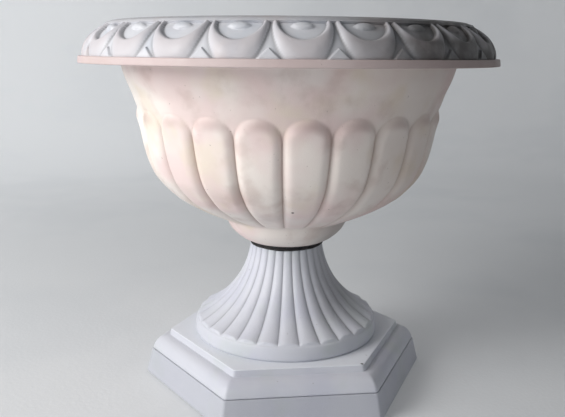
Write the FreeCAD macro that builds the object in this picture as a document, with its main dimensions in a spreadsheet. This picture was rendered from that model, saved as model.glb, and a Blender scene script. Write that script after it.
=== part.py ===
"""Two-part garden urn: a lobed bowl with a loose ornamented rim, on a reeded pedestal.

Frame: millimetres, +Z up, origin on the ground at the centre of the hexagonal plinth.
Two corners of the plinth lie on the X axis.
"""
import FreeCAD, Part
import math
import os
import Sketcher

Vector = FreeCAD.Vector
Rotation = FreeCAD.Rotation
Placement = FreeCAD.Placement

# Driving dimensions: millimetres and degrees.
SIZES = {
    # Plinth: radii are to the corners of the hexagon.
    "foot_gap": 1.5,
    "plinth_radius": 166.0,
    "seam_radius": 158.5,
    "seam_height": 30.2,
    "shoulder_radius": 154.5,
    "shoulder_height": 38.5,
    "brow_radius": 148.5,
    "brow_height": 44.0,
    "step_radius": 138.0,
    "step_height": 46.8,
    "table_radius": 133.8,
    "table_height": 53.4,
    "plinth_wall": 5.5,
    "plinth_opening": 86.0,
    "boss_circle": 144.0,
    "boss_radius": 8.0,
    "cover_boss_radius": 7.0,
    "boss_roof": 38.0,
    "boss_skin": 1.0,
    "screw_floor": 10.0,
    "pad_circle": 130.0,
    "pad_boss_radius": 11.0,
    "pad_boss_height": 10.0,
    "pad_radius": 8.0,
    "pad_stem_radius": 3.0,
    "pad_stem_length": 6.0,
    "plinth_sides": 6,
    # Pedestal column.
    "column_foot_radius": 107.4,
    "skirt_radius": 105.6,
    "skirt_height": 71.6,
    "column_top": 156.7,
    "column_top_radius": 42.0,
    "flare_radius": 109.2,
    "flare_centre_radius": 149.85,
    "flare_centre_height": 172.2,
    "column_wall": 5.0,
    "socket_radius": 34.0,
    "socket_wall": 3.5,
    "socket_low": 106.0,
    "neck_land": 15.0,
    "reed_count": 28,
    "reed_groove": 2.4,
    "reed_start": 175.0,
    "reed_sweep": 71.0,
    "reed_turn": 1.16,
    "column_screw_count": 3,
    "column_boss_circle": 97.0,
    "column_boss_radius": 6.0,
    "column_boss_height": 14.0,
    "column_hole_depth": 12.0,
    # Neck seal.
    "seal_top": 162.9,
    "seal_radius": 40.5,
    "seal_round": 3.6,
    # Bowl.
    "bowl_wall": 5.5,
    "spigot_clearance": 0.3,
    "spigot_wall": 3.5,
    "spigot_low": 112.0,
    "drain_radius": 9.0,
    "bowl_foot_radius": 46.2,
    "cup_radius": 70.0,
    "cup_height": 188.0,
    "cup_round": 51.6,
    "belly_low_radius": 98.7,
    "belly_low": 201.3,
    "belly_round": 109.8,
    "belly_centre_radius": 55.4,
    "belly_centre_height": 302.2,
    "flute_top_radius": 165.2,
    "mouth_radius": 182.0,
    "mouth_round": 443.0,
    "ledge_radius": 225.0,
    "ledge_draft": 0.8,
    "ledge_low": 361.4,
    "ledge_high": 368.6,
    "upstand_inner": 184.0,
    "upstand_outer": 188.0,
    "upstand_top": 394.0,
    "lobe_count": 22,
    "lobe_groove": 3.2,
    "lobe_start": 287.0,
    "lobe_sweep": 69.5,
    "arch_height": 291.5,
    "arch_lift": 0.7,
    "arch_trim": 8.0,
    "lobe_turn": 7.32,
    # Rim collar.
    "collar_radius": 221.6,
    "collar_wall": 4.2,
    "collar_round": 50.1,
    "collar_shoulder_radius": 192.6,
    "collar_shoulder_height": 402.2,
    "collar_top": 403.5,
    "collar_top_radius": 189.5,
    "collar_edge_round": 3.4,
    "collar_inner_radius": 179.4,
    "collar_leg_low": 372.0,
    "crescent_count": 24,
    "crescent_groove": 2.0,
    "crescent_round": 26.2,
    "crescent_centre_radius": 195.1,
    "crescent_centre_height": 400.9,
    "crescent_tilt": 48.2,
    "swag_round": 51.4,
    "swag_centre_radius": 190.1,
    "swag_centre_height": 411.3,
    "swag_tilt": 37.4,
    "swag_sweep": 66.0,
    "pellet_centre_radius": 203.2,
    "pellet_centre_height": 395.2,
    "pellet_width": 18.4,
    "pellet_depth": 7.6,
    "pellet_tilt": 51.6,
    "crescent_turn": 11.0,
    # Drain plug.
    "plug_clearance": 0.3,
    "plug_taper": 1.2,
    "plug_low": 154.0,
    "plug_flange_radius": 15.0,
    "plug_flange_top": 170.4,
    "plug_grip_radius": 4.0,
    "plug_grip_top": 184.0,
    "plug_knob_radius": 7.0,
    "plug_knob_low": 178.0,
    "plug_knob_bevel": 1.8,
    # Screws.
    "screw_radius": 2.0,
    "screw_clearance": 0.05,
    "screw_head_radius": 3.8,
    "screw_head_height": 2.6,
    "screw_head_bevel": 0.7,
    "plinth_screw_length": 26.0,
    "column_screw_length": 15.0,
    "slot_length": 4.6,
    "slot_width": 1.0,
    "slot_depth": 1.2,
}

doc = FreeCAD.newDocument("garden_urn")
sheet = doc.addObject("Spreadsheet::Sheet", "Sizes")
for row, (alias, number) in enumerate(SIZES.items(), start=1):
    sheet.set(f"A{row}", alias)
    sheet.set(f"B{row}", str(number))
    sheet.setAlias(f"B{row}", alias)
doc.recompute()


def bound(formula):
    """Write a formula in the sheet's names as an expression that other objects can use."""
    words = formula.split(" ")
    return " ".join(f"Sizes.{word}" if word in SIZES else word for word in words)


def size(formula):
    """Return a formula's present value."""
    value = sheet.evalExpression(bound(formula))
    return float(getattr(value, "Value", value))


def origin_feature(body, role):
    """Return one of the body's own origin planes or axes."""
    return [item for item in body.Origin.OriginFeatures if item.Role == role][0]


def new_body(label):
    """Start a sub-part whose label names its file."""
    body = doc.addObject("PartDesign::Body", label)
    body.Label = label
    return body


def new_sketch(body, name, role):
    """Attach an empty sketch to an origin plane of the body."""
    sketch = body.newObject("Sketcher::SketchObject", name)
    sketch.AttachmentSupport = [(origin_feature(body, role), "")]
    sketch.MapMode = "FlatFace"
    return sketch


def pin_point(sketch, edge, end, across, up):
    """Hold one end of an edge at (across, up), each a formula; zero means on the axis."""
    for kind, formula, axis in (("DistanceX", across, -2), ("DistanceY", up, -1)):
        value = size(formula)
        if value == 0.0:
            sketch.addConstraint(Sketcher.Constraint("PointOnObject", edge, end, axis))
            continue
        index = sketch.addConstraint(Sketcher.Constraint(kind, -1, 1, edge, end, value))
        sketch.setExpression(f"Constraints[{index}]", bound(formula))


def arc_between(start, finish, radius, side):
    """Return the arc from start to finish; side +1 bulges to the left of the walk."""
    chord = finish - start
    half = chord.Length / 2.0
    sagitta = radius - math.sqrt(radius * radius - half * half)
    left = Vector(-chord.y, chord.x, 0).normalize()
    middle = (start + finish) * 0.5 + left * sagitta * side
    return Part.Arc(start, middle, finish)


def draw_outline(sketch, corners):
    """Close a loop through the corners.

    A corner is (across, up), or (across, up, radius, side) where the edge that leaves it
    is an arc.
    """
    points = [Vector(size(corner[0]), size(corner[1]), 0) for corner in corners]
    ends = []
    for index, corner in enumerate(corners):
        start = points[index]
        finish = points[(index + 1) % len(points)]
        if len(corner) == 2:
            edge = sketch.addGeometry(Part.LineSegment(start, finish))
            ends.append((edge, 1, 2))
            continue
        edge = sketch.addGeometry(arc_between(start, finish, size(corner[2]), corner[3]))
        forward = (sketch.getPoint(edge, 1) - start).Length < (sketch.getPoint(edge, 2) - start).Length
        ends.append((edge, 1, 2) if forward else (edge, 2, 1))
    for index, corner in enumerate(corners):
        edge, first, last = ends[index]
        following, following_first, _ = ends[(index + 1) % len(ends)]
        sketch.addConstraint(Sketcher.Constraint("Coincident", edge, last, following, following_first))
        pin_point(sketch, edge, first, corner[0], corner[1])
        if len(corner) > 2:
            turn = sketch.addConstraint(Sketcher.Constraint("Radius", edge, size(corner[2])))
            sketch.setExpression(f"Constraints[{turn}]", bound(corner[2]))


def revolve(body, name, corners):
    """Turn a closed section about the body's Z axis."""
    sketch = new_sketch(body, f"{name}_section", "XZ_Plane")
    draw_outline(sketch, corners)
    turned = body.newObject("PartDesign::Revolution", name)
    turned.Profile = sketch
    turned.ReferenceAxis = (sketch, ["V_Axis"])
    turned.Angle = 360.0
    doc.recompute()
    return turned


def primitive(body, kind, name, plane, offset, **formulas):
    """Add a PartDesign primitive on an origin plane, its sizes bound to formulas."""
    item = body.newObject(f"PartDesign::{kind}", name)
    item.AttachmentSupport = [(origin_feature(body, plane), "")]
    item.MapMode = "FlatFace"
    item.AttachmentOffset = offset
    for field, formula in formulas.items():
        setattr(item, field, size(formula))
        item.setExpression(field, bound(formula))
    doc.recompute()
    return item


def repeat_round(body, feature, name, count):
    """Repeat a feature evenly about the body's Z axis."""
    ring = body.newObject("PartDesign::PolarPattern", name)
    ring.Originals = [feature]
    ring.Axis = (origin_feature(body, "Z_Axis"), [""])
    ring.Angle = 360.0
    ring.Occurrences = int(size(count))
    ring.setExpression("Occurrences", bound(count))
    body.Tip = ring
    doc.recompute()
    before = feature.BaseFeature.Shape.Volume
    one = feature.Shape.Volume - before
    every = ring.Shape.Volume - before
    if abs(every - one * ring.Occurrences) > 0.1 * abs(every):
        raise RuntimeError(f"{body.Label} {name}: {every:.0f} mm3 for {ring.Occurrences} of {one:.0f} mm3")
    return ring


def turn_body(body, formula):
    """Turn the whole sub-part about Z so that its ornament faces the right way."""
    body.Placement = Placement(Vector(), Rotation(Vector(0, 0, 1), size(formula)))
    body.setExpression("Placement.Rotation.Angle", bound(formula))


def hexagon(body, name, radius, height):
    """Draw a regular hexagon, corners on X, in a horizontal plane."""
    sketch = new_sketch(body, name, "XY_Plane")
    sketch.AttachmentOffset = Placement(Vector(0, 0, size(height)), Rotation())
    sketch.setExpression("AttachmentOffset.Base.z", bound(height))
    sides = int(size("plinth_sides"))
    reach = size(radius)
    angles = [2 * math.pi * side / sides for side in range(sides)]
    points = [Vector(reach * math.cos(angle), reach * math.sin(angle), 0) for angle in angles]
    edges = []
    for side in range(sides):
        edges.append(sketch.addGeometry(Part.LineSegment(points[side], points[(side + 1) % sides])))
    guide = sketch.addGeometry(Part.Circle(Vector(), Vector(0, 0, 1), reach), True)
    sketch.addConstraint(Sketcher.Constraint("Coincident", guide, 3, -1, 1))
    turn = sketch.addConstraint(Sketcher.Constraint("Radius", guide, reach))
    sketch.setExpression(f"Constraints[{turn}]", bound(radius))
    for side in range(sides):
        sketch.addConstraint(Sketcher.Constraint("Coincident", edges[side], 2, edges[(side + 1) % sides], 1))
        sketch.addConstraint(Sketcher.Constraint("PointOnObject", edges[side], 1, guide))
        if side:
            sketch.addConstraint(Sketcher.Constraint("Equal", edges[0], edges[side]))
    sketch.addConstraint(Sketcher.Constraint("PointOnObject", edges[0], 1, -1))
    return sketch


def hexagonal_loft(body, kind, name, levels):
    """Stack hexagons, each (radius, height), into one flat-sided solid or hollow."""
    sections = []
    for index, (radius, height) in enumerate(levels):
        sections.append(hexagon(body, f"{name}_level_{index}", radius, height))
    loft = body.newObject(f"PartDesign::{kind}", name)
    loft.Profile = sections[0]
    loft.Sections = [(section, [""]) for section in sections[1:]]
    loft.Ruled = True
    doc.recompute()
    return loft


def swung(radius, height, start, turn):
    """Place a feature in the XZ plane's frame, begun at an angle in it and turned about Z."""
    about_axis = Rotation(Vector(0, 1, 0), turn)
    centre = about_axis.multVec(Vector(size(radius), size(height), 0))
    return Placement(centre, about_axis.multiply(Rotation(Vector(0, 0, 1), size(start))))


def upright(body, kind, name, circle, angle, low, **formulas):
    """Add a vertical cylinder at a distance from the axis, its foot at a height."""
    reach = size(circle)
    turn = math.radians(angle)
    spot = Vector(reach * math.cos(turn), reach * math.sin(turn), size(low))
    return primitive(body, kind, name, "XY_Plane", Placement(spot, Rotation()), **formulas)


# --- Plinth -------------------------------------------------------------------------------

def build_plinth_base():
    """Lower hexagonal frame with screw columns in its corners and pad seats along its sides."""
    body = new_body("plinth_base")
    hexagonal_loft(body, "AdditiveLoft", "base_outside", [
        ("plinth_radius", "foot_gap"),
        ("seam_radius", "seam_height"),
    ])
    hexagonal_loft(body, "SubtractiveLoft", "base_inside", [
        ("plinth_radius - plinth_wall", "foot_gap"),
        ("seam_radius - plinth_wall", "seam_height"),
    ])
    boss = upright(body, "AdditiveCylinder", "corner_boss", "boss_circle", 0, "foot_gap",
                   Radius="boss_radius", Height="seam_height - foot_gap")
    repeat_round(body, boss, "corner_bosses", "plinth_sides")
    seat = upright(body, "AdditiveCylinder", "pad_seat", "pad_circle", 30, "foot_gap",
                   Radius="pad_boss_radius", Height="pad_boss_height")
    repeat_round(body, seat, "pad_seats", "plinth_sides")
    shank = upright(body, "SubtractiveCylinder", "screw_way", "boss_circle", 0, "foot_gap",
                    Radius="screw_radius + spigot_clearance", Height="seam_height")
    repeat_round(body, shank, "screw_ways", "plinth_sides")
    well = upright(body, "SubtractiveCylinder", "head_well", "boss_circle", 0, "foot_gap",
                   Radius="screw_head_radius + spigot_clearance", Height="screw_floor - foot_gap")
    repeat_round(body, well, "head_wells", "plinth_sides")
    socket = upright(body, "SubtractiveCylinder", "pad_socket", "pad_circle", 30, "foot_gap",
                     Radius="pad_stem_radius", Height="pad_stem_length + spigot_clearance")
    repeat_round(body, socket, "pad_sockets", "plinth_sides")
    return body


def build_plinth_cover():
    """Upper half of the plinth: rounded chamfer, step and table, hollow below."""
    body = new_body("plinth_cover")
    hexagonal_loft(body, "AdditiveLoft", "cover_outside", [
        ("seam_radius", "seam_height"),
        ("shoulder_radius", "shoulder_height"),
        ("brow_radius", "brow_height"),
        ("step_radius", "step_height"),
        ("table_radius", "table_height"),
    ])
    hexagonal_loft(body, "SubtractiveLoft", "cover_inside", [
        ("seam_radius - plinth_wall", "seam_height"),
        ("shoulder_radius - plinth_wall - plinth_wall", "shoulder_height - plinth_wall / 4"),
        ("table_radius - plinth_wall", "table_height - plinth_wall"),
    ])
    boss = upright(body, "AdditiveCylinder", "corner_boss", "boss_circle", 0, "seam_height",
                   Radius="cover_boss_radius", Height="boss_roof - seam_height")
    repeat_round(body, boss, "corner_bosses", "plinth_sides")
    hole = upright(body, "SubtractiveCylinder", "screw_hole", "boss_circle", 0, "seam_height",
                   Radius="screw_radius", Height="boss_roof - seam_height - boss_skin")
    repeat_round(body, hole, "screw_holes", "plinth_sides")
    opening = upright(body, "SubtractiveCylinder", "opening", "0", 0, "seam_height",
                      Radius="plinth_opening", Height="table_height")
    body.Tip = opening
    way = upright(body, "SubtractiveCylinder", "column_screw_way", "column_boss_circle", 30, "seam_height",
                  Radius="screw_radius + spigot_clearance", Height="table_height")
    repeat_round(body, way, "column_screw_ways", "column_screw_count")
    return body


def build_foot_pad(index):
    """Rubber pad with a stem that presses up into the plinth."""
    body = new_body(f"foot_pad_{index + 1}")
    revolve(body, "pad", [
        ("0", "0"),
        ("pad_radius - foot_gap / 2", "0"),
        ("pad_radius", "foot_gap"),
        ("pad_stem_radius - screw_clearance", "foot_gap"),
        ("pad_stem_radius - screw_clearance", "foot_gap + pad_stem_length"),
        ("0", "foot_gap + pad_stem_length"),
    ])
    sides = size("plinth_sides")
    angle = math.radians(360 / sides * (index + 0.5))
    reach = size("pad_circle")
    body.Placement = Placement(Vector(reach * math.cos(angle), reach * math.sin(angle), 0), Rotation())
    return body


def build_screw(label, length, reach, angle, under_head):
    """Pan-head screw pointing up, its head's seat at the given height."""
    body = new_body(label)
    revolve(body, "screw", [
        ("0", "0"),
        ("screw_head_radius - screw_head_bevel", "0"),
        ("screw_head_radius", "screw_head_bevel"),
        ("screw_head_radius", "screw_head_height"),
        ("screw_radius - screw_clearance", "screw_head_height"),
        ("screw_radius - screw_clearance", f"screw_head_height + {length} - screw_radius"),
        ("0", f"screw_head_height + {length}"),
    ])
    for turn in (0, 90):
        centre = Rotation(Vector(0, 0, 1), turn).multVec(
            Vector(-size("slot_length / 2"), -size("slot_width / 2"), 0))
        primitive(body, "SubtractiveBox", f"slot_{turn}", "XY_Plane",
                  Placement(centre, Rotation(Vector(0, 0, 1), turn)),
                  Length="slot_length", Width="slot_width", Height="slot_depth")
    spot = Rotation(Vector(0, 0, 1), angle).multVec(Vector(reach, 0, 0))
    spot.z = under_head - size("screw_head_height")
    body.Placement = Placement(spot, Rotation())
    return body


# --- Pedestal -----------------------------------------------------------------------------

def build_column():
    """Flared hollow column with reeds outside."""
    body = new_body("pedestal_column")
    revolve(body, "column_wall", [
        ("column_foot_radius", "table_height"),
        ("skirt_radius", "skirt_height", "flare_radius", 1),
        ("column_top_radius", "column_top"),
        ("socket_radius + socket_wall", "column_top"),
        ("socket_radius + socket_wall", "column_top - neck_land", "flare_radius + column_wall", -1),
        ("skirt_radius - column_wall", "skirt_height - column_wall"),
        ("column_foot_radius - column_wall", "table_height"),
    ])
    boss = upright(body, "AdditiveCylinder", "screw_boss", "column_boss_circle", 30, "table_height",
                   Radius="column_boss_radius", Height="column_boss_height")
    repeat_round(body, boss, "screw_bosses", "column_screw_count")
    hole = upright(body, "SubtractiveCylinder", "screw_hole", "column_boss_circle", 30, "table_height",
                   Radius="screw_radius", Height="column_hole_depth")
    repeat_round(body, hole, "screw_holes", "column_screw_count")
    groove = primitive(body, "SubtractiveTorus", "reed_groove", "XZ_Plane",
                       swung("flare_centre_radius", "flare_centre_height", "reed_start", size("reed_turn")),
                       Radius1="flare_radius", Radius2="reed_groove", Angle3="reed_sweep")
    repeat_round(body, groove, "reed_grooves", "reed_count")
    return body


def build_neck_sleeve():
    """Tube pressed into the column's neck, in which the bowl's spigot stands."""
    body = new_body("neck_sleeve")
    revolve(body, "sleeve", [
        ("socket_radius", "socket_low"),
        ("socket_radius + socket_wall", "socket_low"),
        ("socket_radius + socket_wall", "column_top"),
        ("socket_radius", "column_top"),
    ])
    return body


def build_neck_seal():
    """Black rubber ring that the bowl's foot rests on."""
    body = new_body("neck_seal")
    revolve(body, "ring", [
        ("socket_radius", "column_top"),
        ("seal_radius", "column_top", "seal_round", -1),
        ("seal_radius", "seal_top"),
        ("socket_radius", "seal_top"),
    ])
    return body


# --- Bowl ---------------------------------------------------------------------------------

def build_bowl():
    """Moulded bowl with lobes, ledge, upstand and the spigot that stands in the column."""
    body = new_body("bowl_shell")
    revolve(body, "bowl_wall", [
        ("bowl_foot_radius", "seal_top", "cup_round", -1),
        ("cup_radius", "cup_height"),
        ("belly_low_radius", "belly_low", "belly_round", -1),
        ("flute_top_radius", "belly_centre_height", "mouth_round", 1),
        ("mouth_radius", "ledge_low"),
        ("ledge_radius", "ledge_low"),
        ("ledge_radius - ledge_draft", "ledge_high"),
        ("upstand_outer", "ledge_high"),
        ("upstand_outer", "upstand_top"),
        ("upstand_inner", "upstand_top"),
        ("upstand_inner", "ledge_high + bowl_wall / 2"),
        ("mouth_radius - bowl_wall", "ledge_low", "mouth_round", -1),
        ("flute_top_radius - bowl_wall", "belly_centre_height", "belly_round - bowl_wall", 1),
        ("belly_low_radius - bowl_wall / 2", "belly_low + bowl_wall"),
        ("cup_radius - bowl_wall / 2", "cup_height + bowl_wall", "cup_round - bowl_wall", 1),
        ("bowl_foot_radius - bowl_wall / 3", "seal_top + bowl_wall"),
        ("drain_radius", "seal_top + bowl_wall"),
        ("drain_radius", "seal_top"),
        ("socket_radius - spigot_clearance - spigot_wall", "seal_top"),
        ("socket_radius - spigot_clearance - spigot_wall", "spigot_low"),
        ("socket_radius - spigot_clearance", "spigot_low"),
        ("socket_radius - spigot_clearance", "seal_top"),
    ])
    valley = primitive(body, "SubtractiveTorus", "lobe_valley", "XZ_Plane",
                       swung("belly_centre_radius", "belly_centre_height", "lobe_start",
                             size("180 / lobe_count")),
                       Radius1="belly_round", Radius2="lobe_groove", Angle3="lobe_sweep")
    repeat_round(body, valley, "lobe_valleys", "lobe_count")
    arch_centre = Vector(0, size("arch_height"), size("flute_top_radius + arch_lift"))
    arch = primitive(body, "SubtractiveTorus", "lobe_arch", "YZ_Plane",
                     Placement(arch_centre, Rotation(Vector(0, 0, 1), size("arch_trim"))),
                     Radius1="( flute_top_radius + arch_lift ) * tan(180 deg / lobe_count )",
                     Radius2="lobe_groove", Angle3="180 - 2 * arch_trim")
    repeat_round(body, arch, "lobe_arches", "lobe_count")
    turn_body(body, "lobe_turn")
    return body


def tilted(radius, height, tilt, spin):
    """Place a feature in the XZ plane's frame, facing outwards and up by the tilt."""
    spot = Vector(size(radius), size(height), 0)
    facing = Rotation(Vector(0, 0, 1), size(tilt)).multiply(Rotation(Vector(0, 1, 0), 90))
    return Placement(spot, facing.multiply(Rotation(Vector(0, 0, 1), spin)))


def build_collar():
    """Loose rim ring: an ovolo with crescents and pellets that hooks over the upstand."""
    body = new_body("rim_collar")
    revolve(body, "collar_wall", [
        ("collar_radius", "ledge_high", "collar_round", -1),
        ("collar_shoulder_radius", "collar_shoulder_height", "collar_edge_round", -1),
        ("collar_top_radius", "collar_top"),
        ("collar_inner_radius + collar_edge_round", "collar_top", "collar_edge_round", -1),
        ("collar_inner_radius", "collar_top - collar_edge_round"),
        ("collar_inner_radius", "collar_leg_low"),
        ("collar_inner_radius + collar_wall", "collar_leg_low"),
        ("collar_inner_radius + collar_wall", "collar_top - collar_wall"),
        ("collar_top_radius", "collar_top - collar_wall", "collar_round - collar_wall", 1),
        ("collar_radius - collar_wall", "ledge_high"),
    ])
    crescent = primitive(body, "SubtractiveTorus", "crescent", "XZ_Plane",
                         tilted("crescent_centre_radius", "crescent_centre_height", "crescent_tilt", 0),
                         Radius1="crescent_round", Radius2="crescent_groove")
    repeat_round(body, crescent, "crescents", "crescent_count")
    swag_spin = 360 - size("swag_sweep / 2")
    swag = primitive(body, "SubtractiveTorus", "swag", "XZ_Plane",
                     tilted("swag_centre_radius", "swag_centre_height", "swag_tilt", swag_spin),
                     Radius1="swag_round", Radius2="crescent_groove", Angle3="swag_sweep")
    repeat_round(body, swag, "swags", "crescent_count")
    pellet = primitive(body, "AdditiveEllipsoid", "pellet", "XZ_Plane",
                       tilted("pellet_centre_radius", "pellet_centre_height", "pellet_tilt", 0),
                       Radius1="pellet_depth / 2", Radius2="pellet_depth / 2", Radius3="pellet_width / 2")
    repeat_round(body, pellet, "pellets", "crescent_count")
    turn_body(body, "crescent_turn")
    return body


def build_drain_plug():
    """Rubber bung with a flange and a knob to pull it by."""
    body = new_body("drain_plug")
    revolve(body, "bung", [
        ("0", "plug_low"),
        ("drain_radius - plug_clearance - plug_taper", "plug_low"),
        ("drain_radius - plug_clearance", "seal_top + bowl_wall"),
        ("plug_flange_radius", "seal_top + bowl_wall"),
        ("plug_flange_radius - plug_taper", "plug_flange_top"),
        ("plug_grip_radius", "plug_flange_top"),
        ("plug_grip_radius", "plug_knob_low"),
        ("plug_knob_radius", "plug_knob_low + plug_knob_bevel"),
        ("plug_knob_radius", "plug_grip_top - plug_knob_bevel"),
        ("plug_knob_radius - plug_knob_bevel", "plug_grip_top"),
        ("0", "plug_grip_top"),
    ])
    return body


def build_all():
    """Build every sub-part and return them in order."""
    bodies = [build_plinth_base(), build_plinth_cover(), build_column(), build_neck_sleeve()]
    bodies += [build_neck_seal(), build_bowl(), build_collar(), build_drain_plug()]
    sides = int(size("plinth_sides"))
    for index in range(sides):
        bodies.append(build_foot_pad(index))
    for index in range(sides):
        bodies.append(build_screw(f"plinth_screw_{index + 1}", "plinth_screw_length",
                                  size("boss_circle"), 360 / sides * index, size("screw_floor")))
    count = int(size("column_screw_count"))
    for index in range(count):
        bodies.append(build_screw(f"column_screw_{index + 1}", "column_screw_length",
                                  size("column_boss_circle"), 30 + 360 / count * index,
                                  size("table_height - plinth_wall")))
    return bodies


def check_document(bodies):
    """Stop if any object failed or any sub-part has no sound shape."""
    for item in doc.Objects:
        if "Invalid" in item.State or "Error" in item.State:
            raise RuntimeError(f"{item.Name} failed: {item.State}")
    for body in bodies:
        if body.Shape.isNull() or not body.Shape.isValid():
            raise RuntimeError(f"{body.Label} has no valid shape")
        if len(body.Shape.Solids) != 1:
            raise RuntimeError(f"{body.Label} has {len(body.Shape.Solids)} solids")


def main():
    bodies = build_all()
    doc.recompute()
    check_document(bodies)
    os.makedirs("parts", exist_ok=True)
    for body in bodies:
        body.Shape.exportStep(os.path.join("parts", f"{body.Label}.step"))
        box = body.Shape.BoundBox
        print(f"{body.Label}: {body.Shape.Volume:.0f} mm3, z {box.ZMin:.1f} to {box.ZMax:.1f}, "
              f"x {box.XMin:.1f} to {box.XMax:.1f}")


main()
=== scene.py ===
"""Looks of the two-part garden urn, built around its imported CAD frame.

Sections, heights and the places of colours are in millimetres, and MM turns them into metres.
Lights, the camera, bump distances and the scales of noises are in Blender's own metres.
"""

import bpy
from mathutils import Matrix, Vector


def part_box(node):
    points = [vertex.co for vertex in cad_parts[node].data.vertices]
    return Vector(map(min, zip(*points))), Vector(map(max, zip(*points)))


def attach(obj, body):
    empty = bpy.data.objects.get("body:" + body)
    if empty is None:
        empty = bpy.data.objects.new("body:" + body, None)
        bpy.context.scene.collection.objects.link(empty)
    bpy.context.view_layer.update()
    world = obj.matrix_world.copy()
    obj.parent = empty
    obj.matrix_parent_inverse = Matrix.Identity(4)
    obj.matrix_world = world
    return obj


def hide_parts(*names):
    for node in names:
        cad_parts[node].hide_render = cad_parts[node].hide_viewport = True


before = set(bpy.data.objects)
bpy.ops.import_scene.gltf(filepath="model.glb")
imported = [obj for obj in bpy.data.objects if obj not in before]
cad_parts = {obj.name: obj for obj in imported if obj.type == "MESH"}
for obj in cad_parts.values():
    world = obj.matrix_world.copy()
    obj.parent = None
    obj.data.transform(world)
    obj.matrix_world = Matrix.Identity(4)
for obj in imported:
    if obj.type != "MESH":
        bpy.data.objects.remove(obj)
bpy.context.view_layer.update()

import math

import bpy
import numpy as np
from mathutils import Euler, Vector

MM = 0.001

# --- Sizes read from the frame, in millimetres ---------------------------------------------


def node_size(node):
    """Return a node's lowest height, highest height and furthest reach along X."""
    low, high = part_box(node)
    return low.z / MM, high.z / MM, high.x / MM


BASE_LOW, SEAM, BASE_REACH = node_size("plinth_base")
_, TABLE, COVER_REACH = node_size("plinth_cover")
_, COLUMN_TOP, _ = node_size("pedestal_column")
_, SEAL_TOP, _ = node_size("neck_seal")
SPIGOT_LOW, UPSTAND_TOP, LEDGE_REACH = node_size("bowl_shell")
LEDGE_TOP, COLLAR_TOP, _ = node_size("rim_collar")

# --- Ornament: how many repeats, the angle of one in degrees, and its columns of points -----

LOBES = 22
LOBE_CENTRE_ANGLE = 7.32
LOBE_COLUMNS = 26
REEDS = 28
REED_VALLEY_ANGLE = 1.16
REED_COLUMNS = 16
CRESCENTS = 24
CRESCENT_CENTRE_ANGLE = 11.0
CRESCENT_COLUMNS = 56

# --- Mesh helpers ---------------------------------------------------------------------------

SPLINE_STEPS = 24


def line(start, finish, count):
    """Points from start towards finish, which is left out."""
    steps = np.linspace(0, 1, count, endpoint=False)[:, None]
    return np.array(start) * (1 - steps) + np.array(finish) * steps


def arc(centre, radius, first, last, count):
    """Points on an arc, angles in degrees, the last point left out."""
    turns = np.radians(np.linspace(first, last, count, endpoint=False))
    return np.stack([centre[0] + radius * np.cos(turns), centre[1] + radius * np.sin(turns)], axis=1)


def spline(points, count):
    """A Catmull-Rom curve through the points, evenly spaced by length, the last point left out."""
    points = np.array(points, float)
    padded = np.vstack([2 * points[0] - points[1], points, 2 * points[-1] - points[-2]])
    fine = []
    for index in range(len(points) - 1):
        before, start, finish, after = padded[index:index + 4]
        for step in np.linspace(0, 1, SPLINE_STEPS, endpoint=False):
            fine.append(0.5 * (2 * start + (finish - before) * step
                               + (2 * before - 5 * start + 4 * finish - after) * step ** 2
                               + (3 * start - before - 3 * finish + after) * step ** 3))
    fine.append(points[-1])
    fine = np.array(fine)
    lengths = run_length(fine)
    wanted = np.linspace(0, lengths[-1], count, endpoint=False)
    return np.stack([np.interp(wanted, lengths, fine[:, axis]) for axis in (0, 1)], axis=1)


def run_length(points):
    """Distance walked along a row of points."""
    return np.concatenate([[0], np.cumsum(np.linalg.norm(np.diff(points, axis=0), axis=1))])


def outward(points):
    """Normals of a section that is walked upwards along its outside."""
    along = np.roll(points, -1, axis=0) - np.roll(points, 1, axis=0)
    normals = np.stack([along[:, 1], -along[:, 0]], axis=1)
    return normals / np.linalg.norm(normals, axis=1)[:, None]


def cell_angles(cells, per_cell, centre):
    """Angles about Z, closer at the edges of each repeat, and each one's place in it, from -1 to 1."""
    place = np.sin(np.linspace(-math.pi / 2, math.pi / 2, per_cell, endpoint=False))
    pitch = 360.0 / cells
    angles = [centre + pitch * (cell + place / 2) for cell in range(cells)]
    return np.radians(np.concatenate(angles)), np.tile(place, cells)


def even_angles(count):
    """Evenly spaced angles about Z."""
    return np.radians(np.linspace(0, 360, count, endpoint=False))


def grid_object(name, points, body, nodes, marks=None, sharp=38.0):
    """Make a closed object from rows of rings in millimetres, and tell the frame what it stands for."""
    rows, columns, _ = points.shape
    index = np.arange(rows * columns).reshape(rows, columns)
    right = np.roll(index, -1, axis=1)
    faces = np.stack([index, right, np.roll(right, -1, axis=0), np.roll(index, -1, axis=0)], axis=-1)
    mesh = bpy.data.meshes.new(name)
    mesh.from_pydata((points.reshape(-1, 3) * MM).tolist(), [], faces.reshape(-1, 4).tolist())
    for mark, values in (marks or {}).items():
        layer = mesh.attributes.new(mark, "FLOAT", "POINT")
        layer.data.foreach_set("value", np.clip(values, 0, 1).reshape(-1).astype(np.float32))
    mesh.polygons.foreach_set("use_smooth", np.ones(len(mesh.polygons), bool))
    mesh.set_sharp_from_angle(angle=math.radians(sharp))
    thing = bpy.data.objects.new(name, mesh)
    bpy.context.scene.collection.objects.link(thing)
    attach(thing, body)
    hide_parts(*nodes)
    return thing


def turned(section, angles, relief=0.0):
    """Turn a section (radius, height) about Z and push it out along its normals by the relief."""
    normals = outward(section)
    radius = section[:, 0:1] + normals[:, 0:1] * relief + angles[None, :] * 0
    height = section[:, 1:2] + normals[:, 1:2] * relief + angles[None, :] * 0
    return np.stack([radius * np.cos(angles), radius * np.sin(angles), height], axis=-1)


def ease(value):
    """Smooth step from 0 to 1."""
    value = np.clip(value, 0, 1)
    return value * value * (3 - 2 * value)


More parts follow.
